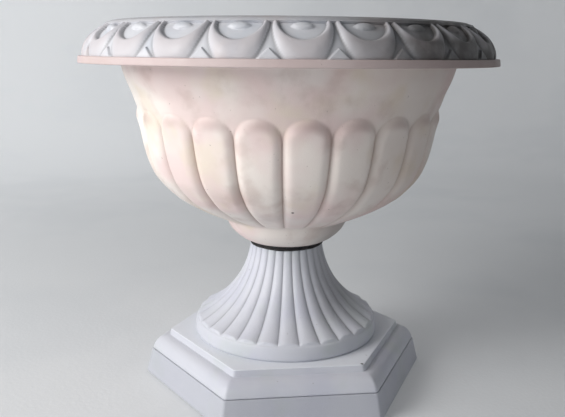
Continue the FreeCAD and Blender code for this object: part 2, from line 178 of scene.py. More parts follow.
def rounded(value):
    """Quarter-round rise from 0 to 1."""
    return np.sqrt(1 - (1 - np.clip(value, 0, 1)) ** 2)


# --- Bowl -----------------------------------------------------------------------------------

CUP_RADIUS = 45.4
NECK_TOP = (181.6, 359.4)
LEDGE_ROOT = 184.2
LEDGE_THICKNESS = 7.2
UPSTAND_OUTSIDE = 188.0
UPSTAND_INSIDE = 184.0
UPSTAND_ROUND = 1.5
BOWL_INSIDE_TOP = 371.4
FLOOR_RADIUS = 44.4
FLOOR_TOP = 168.4
DRAIN_RADIUS = 9.0
SPIGOT_INSIDE = 30.2
SPIGOT_OUTSIDE = 33.7

LOBE_FOOT_HEIGHT = 190.4
LOBE_TOP_HEIGHT = 315.5
LOBE_RELIEF = 5.2
# Share of the relief that is left at the lobes' feet, and the length over which it grows.
LOBE_FOOT_SHARE = 0.24
LOBE_FADE = 78.0
# Width of a lobe's rounded side, and of the rounded end of its arch.
LOBE_EDGE = 10.0
LOBE_ARCH_EDGE = 13.0
# Plain ring between the cup and the lobes' feet.
RING_LENGTH = 2.4
# The arch's radius is the lobe's half width this far below its top.
ARCH_LEVEL = 22.0
# The ground leaves the valleys this far below the lobes' tops and meets the neck this far above.
VALLEY_END = 26.0
NECK_START = 10.0


def lobe_depth(lengths, foot):
    """Depth of the valleys below the lobes, shallow where the lobes run together at the foot."""
    grown = ease((lengths - foot) / LOBE_FADE)
    return LOBE_RELIEF * (LOBE_FOOT_SHARE + (1 - LOBE_FOOT_SHARE) * grown)


def lobe_relief(section, place):
    """The lobes' height over the ground, how deep in a crease each point is, and the arches' shade."""
    lengths = run_length(section)[:, None]
    half = section[:, 0:1] * math.pi / LOBES
    height = section[:, 1]
    foot = np.interp(LOBE_FOOT_HEIGHT, height, lengths[:, 0])
    top = np.interp(LOBE_TOP_HEIGHT, height, lengths[:, 0])
    arch = np.interp(LOBE_TOP_HEIGHT - ARCH_LEVEL, height, half[:, 0])
    across = place[None, :] * half
    above = np.clip(lengths - (top - arch), 0, None)
    side = half - np.abs(across)
    over = arch - np.hypot(across, above)
    inside = np.where(above > 0, over, side)
    inside = np.minimum(inside, (lengths - foot - RING_LENGTH) * 1.2)
    edge = np.minimum(0.55 * half, LOBE_EDGE + (LOBE_ARCH_EDGE - LOBE_EDGE) * ease(above / arch))
    rise = 1 - (1 - np.clip(inside / edge, 0, 1)) ** 2.2
    relief = lobe_depth(lengths, foot) * rise
    crease = np.exp(-np.abs(inside) / 1.5) * ease((lengths - foot + 4) / 8)
    crease = np.where(lengths > top + 1.5, 0, crease) * (1 - 0.75 * ease(above / arch))
    shade = ease((above - 0.30 * arch) / (0.6 * arch)) * rise * (1 - ease((inside - 8) / 16))
    return relief, crease, shade


def bowl_ground():
    """The bowl's outside between cup and ledge: the line of the crests, less the lobes' height."""
    crest = spline([(70.6, 189.4), (72.8, LOBE_FOOT_HEIGHT), (91.0, 198.2), (108.5, 207.0), (126.8, 218.3),
                    (138.7, 229.5), (149.4, 243.0), (156.2, 258.8), (160.4, 274.5), (163.7, 292.5),
                    (166.0, 310.5), (170.5, 328.5), (177.8, 346.5), NECK_TOP], 250)
    lengths = run_length(crest)
    foot = np.interp(LOBE_FOOT_HEIGHT, crest[:, 1], lengths)
    spring = np.interp(LOBE_TOP_HEIGHT - VALLEY_END, crest[:, 1], lengths)
    end = np.interp(LOBE_TOP_HEIGHT + NECK_START, crest[:, 1], lengths)
    depth = lobe_depth(lengths, foot) * (1 - ease((lengths - spring) / (end - spring)))
    depth = depth * ease((lengths - foot + 2) / 3)
    normals = outward(crest)
    normals[0], normals[-1] = normals[1], normals[-2]
    return crest - normals * depth[:, None]


def bowl_section():
    """Rows of the bowl: its cup, the ground of its lobes, and then its ledge, upstand and inside."""
    ground = bowl_ground()
    cup = spline([(CUP_RADIUS, SEAL_TOP), (54.0, 167.6), (63.6, 176.4), (68.4, 184.4), (69.8, 188.4),
                  tuple(ground[0])], 26)
    ledge_low = LEDGE_TOP - LEDGE_THICKNESS
    ledge_edge = LEDGE_REACH - 1.8
    ledge = np.vstack([
        spline([NECK_TOP, (182.3, 361.0), (LEDGE_ROOT, ledge_low)], 4),
        line((LEDGE_ROOT, ledge_low), (LEDGE_REACH - 1.0, ledge_low), 8),
        arc((LEDGE_REACH - 1.0, ledge_low + 1.0), 1.0, -90, 0, 4),
        line((LEDGE_REACH, ledge_low + 1.0), (LEDGE_REACH - 0.6, LEDGE_TOP - 1.2), 4),
        arc((ledge_edge, LEDGE_TOP - 1.2), 1.2, 0, 90, 4),
        line((ledge_edge, LEDGE_TOP), (UPSTAND_OUTSIDE, LEDGE_TOP), 8),
    ])
    round_height = UPSTAND_TOP - UPSTAND_ROUND
    upstand = np.vstack([
        line((UPSTAND_OUTSIDE, LEDGE_TOP), (UPSTAND_OUTSIDE, round_height), 4),
        arc((UPSTAND_OUTSIDE - UPSTAND_ROUND, round_height), UPSTAND_ROUND, 0, 90, 4),
        arc((UPSTAND_INSIDE + UPSTAND_ROUND, round_height), UPSTAND_ROUND, 90, 180, 4),
        line((UPSTAND_INSIDE, round_height), (UPSTAND_INSIDE, BOWL_INSIDE_TOP), 4),
    ])
    inside = np.vstack([
        spline([(UPSTAND_INSIDE, BOWL_INSIDE_TOP), (176.5, 361.4), (166.0, 330.0), (159.7, 302.2),
                (152.0, 271.0), (139.5, 243.0), (118.0, 219.5), (96.0, 206.8), (78.0, 199.5),
                (67.3, 193.5), (60.0, 180.5), (FLOOR_RADIUS, FLOOR_TOP)], 90),
        line((FLOOR_RADIUS, FLOOR_TOP), (DRAIN_RADIUS, FLOOR_TOP), 8),
        line((DRAIN_RADIUS, FLOOR_TOP), (DRAIN_RADIUS, SEAL_TOP), 3),
        line((DRAIN_RADIUS, SEAL_TOP), (SPIGOT_INSIDE, SEAL_TOP), 3),
        line((SPIGOT_INSIDE, SEAL_TOP), (SPIGOT_INSIDE, SPIGOT_LOW), 5),
        line((SPIGOT_INSIDE, SPIGOT_LOW), (SPIGOT_OUTSIDE, SPIGOT_LOW), 2),
        line((SPIGOT_OUTSIDE, SPIGOT_LOW), (SPIGOT_OUTSIDE, SEAL_TOP), 5),
        line((SPIGOT_OUTSIDE, SEAL_TOP), (CUP_RADIUS, SEAL_TOP), 4),
    ])
    return cup, ground, np.vstack([ledge, upstand, inside])


def build_bowl():
    """One mesh for the moulded bowl."""
    cup, ground, rest = bowl_section()
    angles, place = cell_angles(LOBES, LOBE_COLUMNS, LOBE_CENTRE_ANGLE)
    marks = lobe_relief(ground, place)
    below = np.zeros((len(cup), len(angles)))
    after = np.zeros((len(rest), len(angles)))
    relief, crevice, shade = [np.vstack([below, mark, after]) for mark in marks]
    points = turned(np.vstack([cup, ground, rest]), angles, relief)
    return grid_object("bowl", points, "bowl", ["bowl_shell"],
                       {"crevice": crevice, "shade": shade}, sharp=50.0)


# --- Rim collar -----------------------------------------------------------------------------

COLLAR_CENTRE = (172.5, 356.3)
COLLAR_ROUND = 47.2
COLLAR_INNER_ROUND = 43.0
COLLAR_FOOT_INSIDE = 214.2
COLLAR_ROOF = 4.2
LIP_OUTSIDE = 189.8
LIP_INSIDE = 182.8
LIP_ROUND = 3.4
ROOF_REACH = 188.0
MOUTH_RADIUS = 179.4
# The hem hangs inside the mouth, in front of the bowl's upstand.
HEM_BACK = 183.6
HEM_LOW = 372.0
HEM_ROUND = 0.6

CRESCENT_RELIEF = 4.3
PELLET_RELIEF = 3.0
TONGUE_RELIEF = 2.3
# Length of the ornamented band, from the collar's foot to the crescents' tips.
TIP_LENGTH = 38.0
# Half heights of the two ellipses whose difference is a crescent.
HOLLOW_HEIGHT = 21.8
CRESCENT_HEIGHT = 49.0


def ellipse_distance(across, up, half_across, half_up):
    """Roughly how far a point lies outside an ellipse, in millimetres."""
    value = np.hypot(across / half_across, up / half_up)
    slope = np.hypot(across / half_across ** 2, up / half_up ** 2) / np.maximum(value, 1e-6)
    return (value - 1) / np.maximum(slope, 1e-6)


def collar_relief(section, place):
    """Height of crescents, pellets and tongues over the ground, their creases, and the crescents alone."""
    lengths = run_length(section)[:, None]
    half = section[:, 0:1] * math.pi / CRESCENTS
    across = place[None, :] * half
    down = TIP_LENGTH - lengths
    tip_half = np.interp(TIP_LENGTH, lengths[:, 0], half[:, 0])
    hollow = ellipse_distance(across, down, 0.77 * half, HOLLOW_HEIGHT)
    body = -ellipse_distance(across, down, 0.975 * half, CRESCENT_HEIGHT)
    width = np.maximum(hollow + body, 0.1)
    inner = rounded(hollow / np.minimum(3.4, 0.4 * width))
    outer = 1 - (1 - np.clip(body / np.minimum(15.0, 0.8 * width), 0, 1)) ** 2.6
    foot = 0.3 + 0.7 * rounded((lengths + 1.0) / 15.0)
    crescent = CRESCENT_RELIEF * inner * outer * foot * (0.66 + 0.34 * ease(down / 20.0))
    crescent = np.where((hollow > 0) & (body > 0), crescent, 0)
    pellet_across = across / (0.36 * tip_half)
    pellet_up = (lengths - 32.4) / 4.6
    pellet = PELLET_RELIEF * np.sqrt(np.clip(1 - pellet_across ** 2 - pellet_up ** 2, 0, 1))
    tongue_side = half - np.abs(across)
    tongue = (9.8 - lengths) * 0.70 - tongue_side * 0.66
    tongue = TONGUE_RELIEF * ease(tongue / 1.3)
    relief = np.maximum(np.maximum(crescent, pellet), tongue)
    relief = relief * ease((TIP_LENGTH + 0.6 - lengths) / 1.2)
    crease = np.exp(-np.abs(hollow) / 0.9) * (down > 0) + 0.8 * np.exp(-np.abs(body) / 1.6)
    crease = crease * (crescent < 1.2) + 0.7 * np.exp(-np.abs(lengths - TIP_LENGTH) / 0.9)
    return relief, crease, crescent / CRESCENT_RELIEF


def build_collar():
    """One mesh for the ornamented rim ring."""
    first = math.degrees(math.asin((LEDGE_TOP - COLLAR_CENTRE[1]) / COLLAR_ROUND))
    sweep = math.degrees(TIP_LENGTH / COLLAR_ROUND)
    ground = arc(COLLAR_CENTRE, COLLAR_ROUND, first, first + sweep, 104)
    step = ground[-1]
    shoulder = (step[0] + 1.7, step[1] + 1.9)
    above_shoulder = (shoulder[0] - 2.2, shoulder[1] + 2.6)
    roof = COLLAR_TOP - COLLAR_ROOF
    rest = np.vstack([
        line(step, shoulder, 3),
        spline([shoulder, above_shoulder, (194.2, 401.9), (LIP_OUTSIDE, COLLAR_TOP)], 12),
        line((LIP_OUTSIDE, COLLAR_TOP), (LIP_INSIDE, COLLAR_TOP), 5),
        arc((LIP_INSIDE, COLLAR_TOP - LIP_ROUND), LIP_ROUND, 90, 180, 6),
        line((MOUTH_RADIUS, COLLAR_TOP - LIP_ROUND), (MOUTH_RADIUS, HEM_LOW + HEM_ROUND), 6),
        arc((MOUTH_RADIUS + HEM_ROUND, HEM_LOW + HEM_ROUND), HEM_ROUND, 180, 270, 2),
        line((MOUTH_RADIUS + HEM_ROUND, HEM_LOW), (HEM_BACK, HEM_LOW), 2),
        line((HEM_BACK, HEM_LOW), (HEM_BACK, roof), 6),
        line((HEM_BACK, roof), (ROOF_REACH, roof), 3),
        arc(COLLAR_CENTRE, COLLAR_INNER_ROUND, 70, first + 2, 16),
        line((COLLAR_FOOT_INSIDE, LEDGE_TOP), ground[0], 2),
    ])
    angles, place = cell_angles(CRESCENTS, CRESCENT_COLUMNS, CRESCENT_CENTRE_ANGLE)
    after = np.zeros((len(rest), len(angles)))
    relief, crevice, shade = [np.vstack([mark, after]) for mark in collar_relief(ground, place)]
    points = turned(np.vstack([ground, rest]), angles, relief)
    return grid_object("rim", points, "collar", ["rim_collar"],
                       {"crevice": crevice, "shade": shade}, sharp=60.0)


# --- Column and seal ------------------------------------------------------------------------

# The reeds' crests nearly follow this arc, whose centre lies outside the column.
FLARE_CENTRE = (149.85, 172.2)
FLARE_ROUND = 109.2
FLARE_ROWS = 88
# How far the ground lies behind that arc at the reeds' feet.
FLARE_FOOT_DROP = 2.9
REED_FOOT_RADIUS = 104.2
# The band of reeds stands this far over the ground, and a reed this far over the band.
REED_BAND = 0.5
REED_NECK = 1.2
# How much higher a reed is at its foot than at the neck.
REED_SWELL = 1.4

SKIRT_TOP = 69.8
FOOT_OUTSIDE = 105.4
FOOT_INSIDE = 101.6
SLEEVE_BORE = 34.0
SLEEVE_OUTSIDE = 37.5
SLEEVE_LOW = 106.0
SLEEVE_SHOULDER = 140.0

SEAL_FOOT = 40.2
SEAL_SHOULDER = 40.6


def reed_relief(section, place):
    """Convex reeds that end square above the skirt, and how deep in a crease each point is."""
    lengths = run_length(section)[:, None]
    half = section[:, 0:1] * math.pi / REEDS
    across = place[None, :] * half
    start = 0.3 + 0.7 * (1 - place[None, :] ** 2)
    depth = REED_NECK + REED_SWELL * ease((lengths[-1] - lengths) / lengths[-1])
    edge = np.clip((half - np.abs(across)) / half, 0, 1)
    reed = REED_BAND * ease((lengths - start + 0.9) / 0.9)
    reed = reed + depth * (1 - (1 - edge) ** 2.3) * ease((lengths - start) / 1.0)
    crease = np.exp(-(half - np.abs(across)) / 0.8) * ease((lengths - 2) / 3)
    return reed, crease


def flare_ground():
    """The column's outside from the reeds' feet to the neck, under the reeds."""
    foot_round = FLARE_ROUND + FLARE_FOOT_DROP
    neck_round = FLARE_ROUND + REED_BAND + REED_NECK
    first = 180 + math.degrees(math.acos((FLARE_CENTRE[0] - REED_FOOT_RADIUS) / foot_round))
    last = 180 + math.degrees(math.asin((FLARE_CENTRE[1] - COLUMN_TOP) / (FLARE_ROUND + REED_NECK)))
    turns = np.radians(np.linspace(first, last, FLARE_ROWS))
    rounds = np.linspace(foot_round, neck_round, FLARE_ROWS)
    flare = np.stack([FLARE_CENTRE[0] + rounds * np.cos(turns),
                      FLARE_CENTRE[1] + rounds * np.sin(turns)], axis=1)
    flare[-1, 1] = COLUMN_TOP
    return flare


def build_column():
    """One mesh for the hollow reeded column and the sleeve in its neck."""
    flare = flare_ground()
    foot = spline([(FOOT_OUTSIDE, TABLE), (107.0, TABLE + 1.6), (107.3, TABLE + 5.0), (106.6, TABLE + 11.0),
                   (105.7, SKIRT_TOP - 1.8), (105.1, SKIRT_TOP - 0.5), tuple(flare[0])], 24)
    rest = np.vstack([
        line((flare[-1, 0] - 0.6, COLUMN_TOP), (SLEEVE_BORE, COLUMN_TOP), 4),
        line((SLEEVE_BORE, COLUMN_TOP), (SLEEVE_BORE, SLEEVE_LOW), 6),
        line((SLEEVE_BORE, SLEEVE_LOW), (SLEEVE_OUTSIDE, SLEEVE_LOW), 2),
        line((SLEEVE_OUTSIDE, SLEEVE_LOW), (SLEEVE_OUTSIDE, SLEEVE_SHOULDER), 4),
        spline([(SLEEVE_OUTSIDE, SLEEVE_SHOULDER), (47.0, 120.0), (68.0, 90.0), (96.0, 69.0),
                (FOOT_INSIDE, TABLE)], 20),
        line((FOOT_INSIDE, TABLE), (FOOT_OUTSIDE, TABLE), 3),
    ])
    angles, place = cell_angles(REEDS, REED_COLUMNS, REED_VALLEY_ANGLE + 180.0 / REEDS)
    reeds, crease = reed_relief(flare, place)
    below, after = [np.zeros((len(part), len(angles))) for part in (foot, rest)]
    points = turned(np.vstack([foot, flare, rest]), angles, np.vstack([below, reeds, after]))
    crevice = np.vstack([below, crease, after])
    return grid_object("column", points, "pedestal",
                       ["pedestal_column", "neck_sleeve"], {"crevice": crevice}, sharp=50.0)


def build_seal():
    """Rubber ring squeezed into two soft beads, a little uneven round the neck."""
    low = COLUMN_TOP
    high = SEAL_TOP
    middle = (low + high) / 2
    section = np.vstack([
        line((SLEEVE_BORE, low), (SEAL_FOOT, low), 4),
        spline([(SEAL_FOOT, low), (42.2, low + 0.8), (42.3, middle - 0.9), (41.3, middle),
                (42.2, middle + 0.8), (42.2, high - 0.9), (SEAL_SHOULDER, high)], 24),
        line((SEAL_SHOULDER, high), (SLEEVE_BORE, high), 4),
        line((SLEEVE_BORE, high), (SLEEVE_BORE, low), 4),
    ])
    angles = even_angles(240)
    uneven = (0.22 * np.sin(3 * angles + 0.7) + 0.15 * np.sin(7 * angles + 2.0)
              + 0.08 * np.sin(19 * angles))
    outer = ease((section[:, 0:1] - 38.0) / 3.0)
    points = turned(section, angles, outer * uneven[None, :])
    points[:, :, 2] = np.clip(points[:, :, 2], low, high)
    return grid_object("seal", points, "seal", ["neck_seal"])


# --- Plinth ---------------------------------------------------------------------------------

PLINTH_WALL = 5.5
# Radius of the hexagon's six upright edges.
CORNER_ROUND = 5.0
# Gap that shows as the dark seam between the two halves.
SEAM_GAP = 0.5
EDGE_ROUND = 1.0
COVER_LIP_ROUND = 1.1
STEP_EDGE = (138.0, 46.5)
TABLE_EDGE = 135.2
COLUMN_OPENING = 86.0


def hexagon_ring(reach, per_side=10, per_corner=6):
    """One rounded hexagon with corners on X, as (x, y) points; reach is to a rounded corner."""
    sharp = reach + CORNER_ROUND * (1 / math.cos(math.radians(30)) - 1)
    corner_centre = sharp - CORNER_ROUND / math.cos(math.radians(30))
    ring = []
    for side in range(6):
        middle = math.radians(60 * side)
        turns = middle + np.radians(np.linspace(-30, 30, per_corner))
        centre = corner_centre * np.array([math.cos(middle), math.sin(middle)])
        corner = centre + CORNER_ROUND * np.stack([np.cos(turns), np.sin(turns)], axis=1)
        following = math.radians(60 * side + 60)
        next_centre = corner_centre * np.array([math.cos(following), math.sin(following)])
        start = corner[-1]
        finish = next_centre + CORNER_ROUND * np.array([math.cos(turns[-1]), math.sin(turns[-1])])
        steps = np.linspace(0, 1, per_side + 1)[1:-1, None]
        ring.append(corner)
        ring.append(start * (1 - steps) + finish * steps)
    return np.vstack(ring)


def hexagonal(section):
    """Rings of rounded hexagons, one for each (reach, height) of the section."""
    rings = []
    for reach, height in section:
        ring = hexagon_ring(reach)
        rings.append(np.column_stack([ring, np.full(len(ring), height)]))
    return np.array(rings)


def build_plinth_base():
    """Lower hexagonal band, open below."""
    base_top = SEAM - SEAM_GAP
    inner_top = COVER_REACH - PLINTH_WALL
    inner_foot = BASE_REACH - PLINTH_WALL
    section = np.vstack([
        arc((BASE_REACH - EDGE_ROUND, BASE_LOW + EDGE_ROUND), EDGE_ROUND, -90, 0, 4),
        line((BASE_REACH, BASE_LOW + EDGE_ROUND), (COVER_REACH + 0.5, SEAM - 1.2), 8),
        arc((COVER_REACH - 0.5, base_top - EDGE_ROUND), EDGE_ROUND, 0, 90, 4),
        line((COVER_REACH - 0.5, base_top), (inner_top, base_top), 2),
        line((inner_top, base_top), (inner_foot, BASE_LOW), 3),
        line((inner_foot, BASE_LOW), (BASE_REACH - EDGE_ROUND, BASE_LOW), 2),
    ])
    return grid_object("plinth_lower", hexagonal(section), "pedestal",
                       ["plinth_base"], sharp=30.0)


def build_plinth_cover():
    """Upper half of the plinth: rounded chamfer, step and table, open under the column."""
    lip_height = SEAM + COVER_LIP_ROUND
    lip_foot = COVER_REACH - 1.9
    table_under = TABLE - PLINTH_WALL
    inner_foot = COVER_REACH - PLINTH_WALL
    inner_step = (128.3, table_under)
    inner_chamfer = (143.5, 37.0)
    section = np.vstack([
        arc((lip_foot, lip_height), COVER_LIP_ROUND, -90, 0, 4),
        spline([(COVER_REACH - 0.8, lip_height), (155.4, 36.6), (151.0, 42.0), (145.0, 45.4), STEP_EDGE], 16),
        line(STEP_EDGE, (136.2, TABLE - EDGE_ROUND), 6),
        arc((TABLE_EDGE, TABLE - EDGE_ROUND), EDGE_ROUND, 10, 90, 5),
        line((TABLE_EDGE, TABLE), (COLUMN_OPENING, TABLE), 8),
        line((COLUMN_OPENING, TABLE), (COLUMN_OPENING, table_under), 2),
        line((COLUMN_OPENING, table_under), inner_step, 3),
        line(inner_step, inner_chamfer, 3),
        line(inner_chamfer, (inner_foot, SEAM), 3),
        line((inner_foot, SEAM), (lip_foot, SEAM), 2),
    ])
    return grid_object("plinth_upper", hexagonal(section), "pedestal",
                       ["plinth_cover"], sharp=30.0)


# --- Materials ------------------------------------------------------------------------------

# Pairs of heights, or of places along X or Y, in millimetres: a tint starts or ends between them.
CUP_TOP = (188.6, 189.8)
CUP_SHADE_SIDE = (10, 50)
LEDGE_BOTTOM = (360.5, 361.7)
LEDGE_SHADE_SIDE = (-20, 200)
# Span along X over which painted shade darkens the bowl's +X side.
BOWL_SHADE_SIDE = (0, 130)
PLAIN_LIP = (398.5, 400.5)
# Spans along X and Y of the painted shade on the rim's +X side, strongest towards the front.
RIM_SHADE_SIDE = (-30, 120)
RIM_SHADE_BACK = (0, 130)
CRESCENT_TIPS = (383, 394)
LOWER_BAND_TOP = (29.8, 30.6)
# Heights between which painted light brightens the plinth's flat top.
LIT_TABLE_BOTTOM = (52.6, 53.2)
LIT_TABLE_TOP = (53.6, 54.2)
NECK_HEIGHT = (70, 100)
NECK_SHADE_SIDE = (0, 50)

# Centre and radius of two small marks, in millimetres.
LOBE_SPECK = ((-11.0, -130.7, 222.0), 1.9)
CORNER_SCUFF = ((67.0, -116.2, 53.2), 2.2)


def linear(red, green, blue):
    """Turn a screen colour, 0 to 255, into a linear one."""
    parts = []
    for part in (red, green, blue):
        part = part / 255.0
        parts.append(part / 12.92 if part <= 0.04045 else ((part + 0.055) / 1.055) ** 2.4)
    return (*parts, 1.0)


class Surface:
    """A node material under construction, with colour layers mixed one over another.

    Colours are given as screen colours, 0 to 255.
    """

    def __init__(self, name, colour, roughness):
        self.material = bpy.data.materials.new(name)
        self.material.use_nodes = True
        self.nodes = self.material.node_tree.nodes
        self.links = self.material.node_tree.links
        self.shader = self.nodes["Principled BSDF"]
        self.place = self.nodes.new("ShaderNodeTexCoord").outputs["Object"]
        self.colour = self.nodes.new("ShaderNodeRGB").outputs[0]
        self.colour.default_value = linear(*colour)
        self.shader.inputs["Roughness"].default_value = roughness
        self.normal = None

    def noise(self, scale, detail=3.0, offset=0.0, stretch=(1, 1, 1)):
        """Noise over the object, scale in repeats per metre."""
        mapping = self.nodes.new("ShaderNodeMapping")
        mapping.inputs["Location"].default_value = (offset, offset * 0.7, offset * 1.3)
        mapping.inputs["Scale"].default_value = stretch
        self.links.new(self.place, mapping.inputs["Vector"])
        noise = self.nodes.new("ShaderNodeTexNoise")
        noise.inputs["Scale"].default_value = scale
        noise.inputs["Detail"].default_value = detail
        noise.inputs["Roughness"].default_value = 0.5
        self.links.new(mapping.outputs["Vector"], noise.inputs["Vector"])
        return noise.outputs["Fac"]

    def remap(self, value, low, high, to_low=0.0, to_high=1.0):
        """Stretch a value from one range onto another, held at its ends."""
        node = self.nodes.new("ShaderNodeMapRange")
        node.interpolation_type = "SMOOTHSTEP"
        for name, number in (("From Min", low), ("From Max", high), ("To Min", to_low), ("To Max", to_high)):
            node.inputs[name].default_value = number
        self.links.new(value, node.inputs["Value"])
        return node.outputs["Result"]

    def multiply(self, first, second):
        """Product of two values, the second a value or a number."""
        node = self.nodes.new("ShaderNodeMath")
        node.operation = "MULTIPLY"
        self.links.new(first, node.inputs[0])
        if isinstance(second, (int, float)):
            node.inputs[1].default_value = second
        else:
            self.links.new(second, node.inputs[1])
        return node.outputs[0]

    def layer(self, colour, amount):
        """Lay a colour over what is there, where amount is 1."""
        node = self.nodes.new("ShaderNodeMix")
        node.data_type = "RGBA"
        self.links.new(amount, node.inputs["Factor"])
        self.links.new(self.colour, node.inputs["A"])
        node.inputs["B"].default_value = linear(*colour)
        self.colour = node.outputs["Result"]

    def clouds(self, scale, low, high, amount, detail=3.0, offset=0.0, stretch=(1, 1, 1)):
        """Soft patches: 0 where a noise is under low, the amount where it is over high."""
        return self.remap(self.noise(scale, detail, offset, stretch), low, high, 0, amount)

    def along(self, axis, between, to_low=0.0, to_high=1.0):
        """Run from one number to another along an axis, between two places in millimetres."""
        node = self.nodes.new("ShaderNodeSeparateXYZ")
        self.links.new(self.place, node.inputs[0])
        low, high = between
        return self.remap(node.outputs[axis], low * MM, high * MM, to_low, to_high)

    def mark(self, name):
        """One of the mesh's own marks, 0 to 1."""
        node = self.nodes.new("ShaderNodeAttribute")
        node.attribute_name = name
        return node.outputs["Fac"]

    def spot(self, centre, radius):
        """1 close to a point given in millimetres, 0 beyond the radius."""
        node = self.nodes.new("ShaderNodeVectorMath")
        node.operation = "DISTANCE"
        self.links.new(self.place, node.inputs[0])
        node.inputs[1].default_value = [part * MM for part in centre]
        return self.remap(node.outputs["Value"], 0.4 * radius * MM, radius * MM, 1, 0)

    def rough(self, value, low, high):
        """Let a noise drive the roughness between two numbers."""
        self.links.new(self.remap(value, 0.3, 0.7, low, high), self.shader.inputs["Roughness"])

    def bump(self, value, distance, strength=1.0):
        """Add a bump, distance in metres."""
        node = self.nodes.new("ShaderNodeBump")
        node.inputs["Distance"].default_value = distance
        node.inputs["Strength"].default_value = strength
        self.links.new(value, node.inputs["Height"])
        if self.normal is not None:
            self.links.new(self.normal, node.inputs["Normal"])
        self.normal = node.outputs["Normal"]

    def finish(self):
        """Connect the layers to the shader."""
        self.links.new(self.colour, self.shader.inputs["Base Color"])
        if self.normal is not None:
            self.links.new(self.normal, self.shader.inputs["Normal"])
        return self.material


def moulded_grain(surface):
    """Fine orange-peel and faint waviness of moulded plastic."""
    surface.bump(surface.noise(900.0, 2.0), 0.00012)
    surface.bump(surface.noise(60.0, 2.0, offset=3.0), 0.0006, 0.5)
    surface.rough(surface.noise(35.0, 3.0, offset=8.0), 0.42, 0.6)


def bowl_material():
    """Pale cream plastic under a cloudy pink and beige wash, with painted shade towards its +X side, on the
    lobes' arch tops and in the creases.
    """
    surface = Surface("bowl_wash", (239, 230, 223), 0.5)
    surface.layer((230, 207, 204), surface.clouds(11.0, 0.44, 0.64, 0.8, offset=1.7))
    surface.layer((229, 216, 199), surface.clouds(17.0, 0.50, 0.68, 0.75, offset=5.1))
    surface.layer((237, 231, 226), surface.clouds(14.0, 0.52, 0.70, 0.7, detail=2.0, offset=9.3))
    surface.layer((186, 160, 150), surface.clouds(24.0, 0.52, 0.70, 0.35, detail=4.0, offset=31.0))
    # Painted shade: the bowl darker and browner towards its +X side.
    surface.layer((150, 126, 118), surface.along("X", BOWL_SHADE_SIDE, 0, 0.34))
    # Painted shade: the cup under the lobes darker towards +X.
    cup = surface.multiply(surface.along("Z", CUP_TOP, 1, 0), surface.along("X", CUP_SHADE_SIDE))
    surface.layer((122, 118, 118), surface.multiply(cup, 0.5))
    ledge = surface.along("Z", LEDGE_BOTTOM)
    surface.layer((192, 173, 172), surface.multiply(ledge, 0.8))
    # Painted shade: the ledge darker towards its +X side.
    surface.layer((112, 96, 92), surface.multiply(ledge, surface.along("X", LEDGE_SHADE_SIDE, 0, 0.7)))
    # Painted shade on the lobes' arch tops, under the rim.
    surface.layer((160, 132, 128), surface.multiply(surface.mark("shade"), 0.65))
    # Painted shade in the creases between the lobes.
    surface.layer((140, 112, 100), surface.multiply(surface.mark("crevice"), 0.5))
    surface.layer((120, 100, 90), surface.clouds(260.0, 0.74, 0.78, 0.5, detail=2.0, offset=12.0))
    surface.layer((92, 70, 64), surface.spot(*LOBE_SPECK))
    moulded_grain(surface)
    return surface.finish()


def rim_material():
    """Cool off-white plastic, with painted shade on the plain lip, on the crescents, in the creases and on
    its +X side, and a painted highlight on the crescents' tips.
    """
    surface = Surface("rim_white", (209, 210, 215), 0.5)
    surface.layer((205, 192, 190), surface.clouds(22.0, 0.5, 0.7, 0.6, offset=2.2))
    surface.layer((190, 196, 206), surface.clouds(30.0, 0.5, 0.7, 0.5, offset=6.4))
    # Painted shade: the crescents greyer where they stand highest.
    surface.layer((184, 172, 172), surface.multiply(surface.mark("shade"), 0.5))
    # Painted shade in the creases round the crescents, pellets and tongues.
    surface.layer((92, 88, 88), surface.multiply(surface.mark("crevice"), 0.7))
    # Painted shade: the plain lip at the top greyer.
    surface.layer((146, 144, 146), surface.along("Z", PLAIN_LIP, 0, 0.45))
    # Painted shade on the +X side, strongest towards the front, broken up by a noise.
    side = surface.multiply(surface.along("X", RIM_SHADE_SIDE), surface.along("Y", RIM_SHADE_BACK, 1.0, 0.3))
    patchy = surface.remap(surface.noise(45.0, 4.0, offset=21.0), 0.25, 0.6, 0.65, 0.93)
    surface.layer((62, 59, 56), surface.multiply(side, patchy))
    # Painted highlight: the crescents paler towards their tips.
    crescents = surface.remap(surface.mark("shade"), 0.3, 0.8)
    tip_highlight = surface.multiply(crescents, surface.along("Z", CRESCENT_TIPS))
    surface.layer((196, 196, 202), surface.multiply(tip_highlight, 0.5))
    moulded_grain(surface)
    return surface.finish()


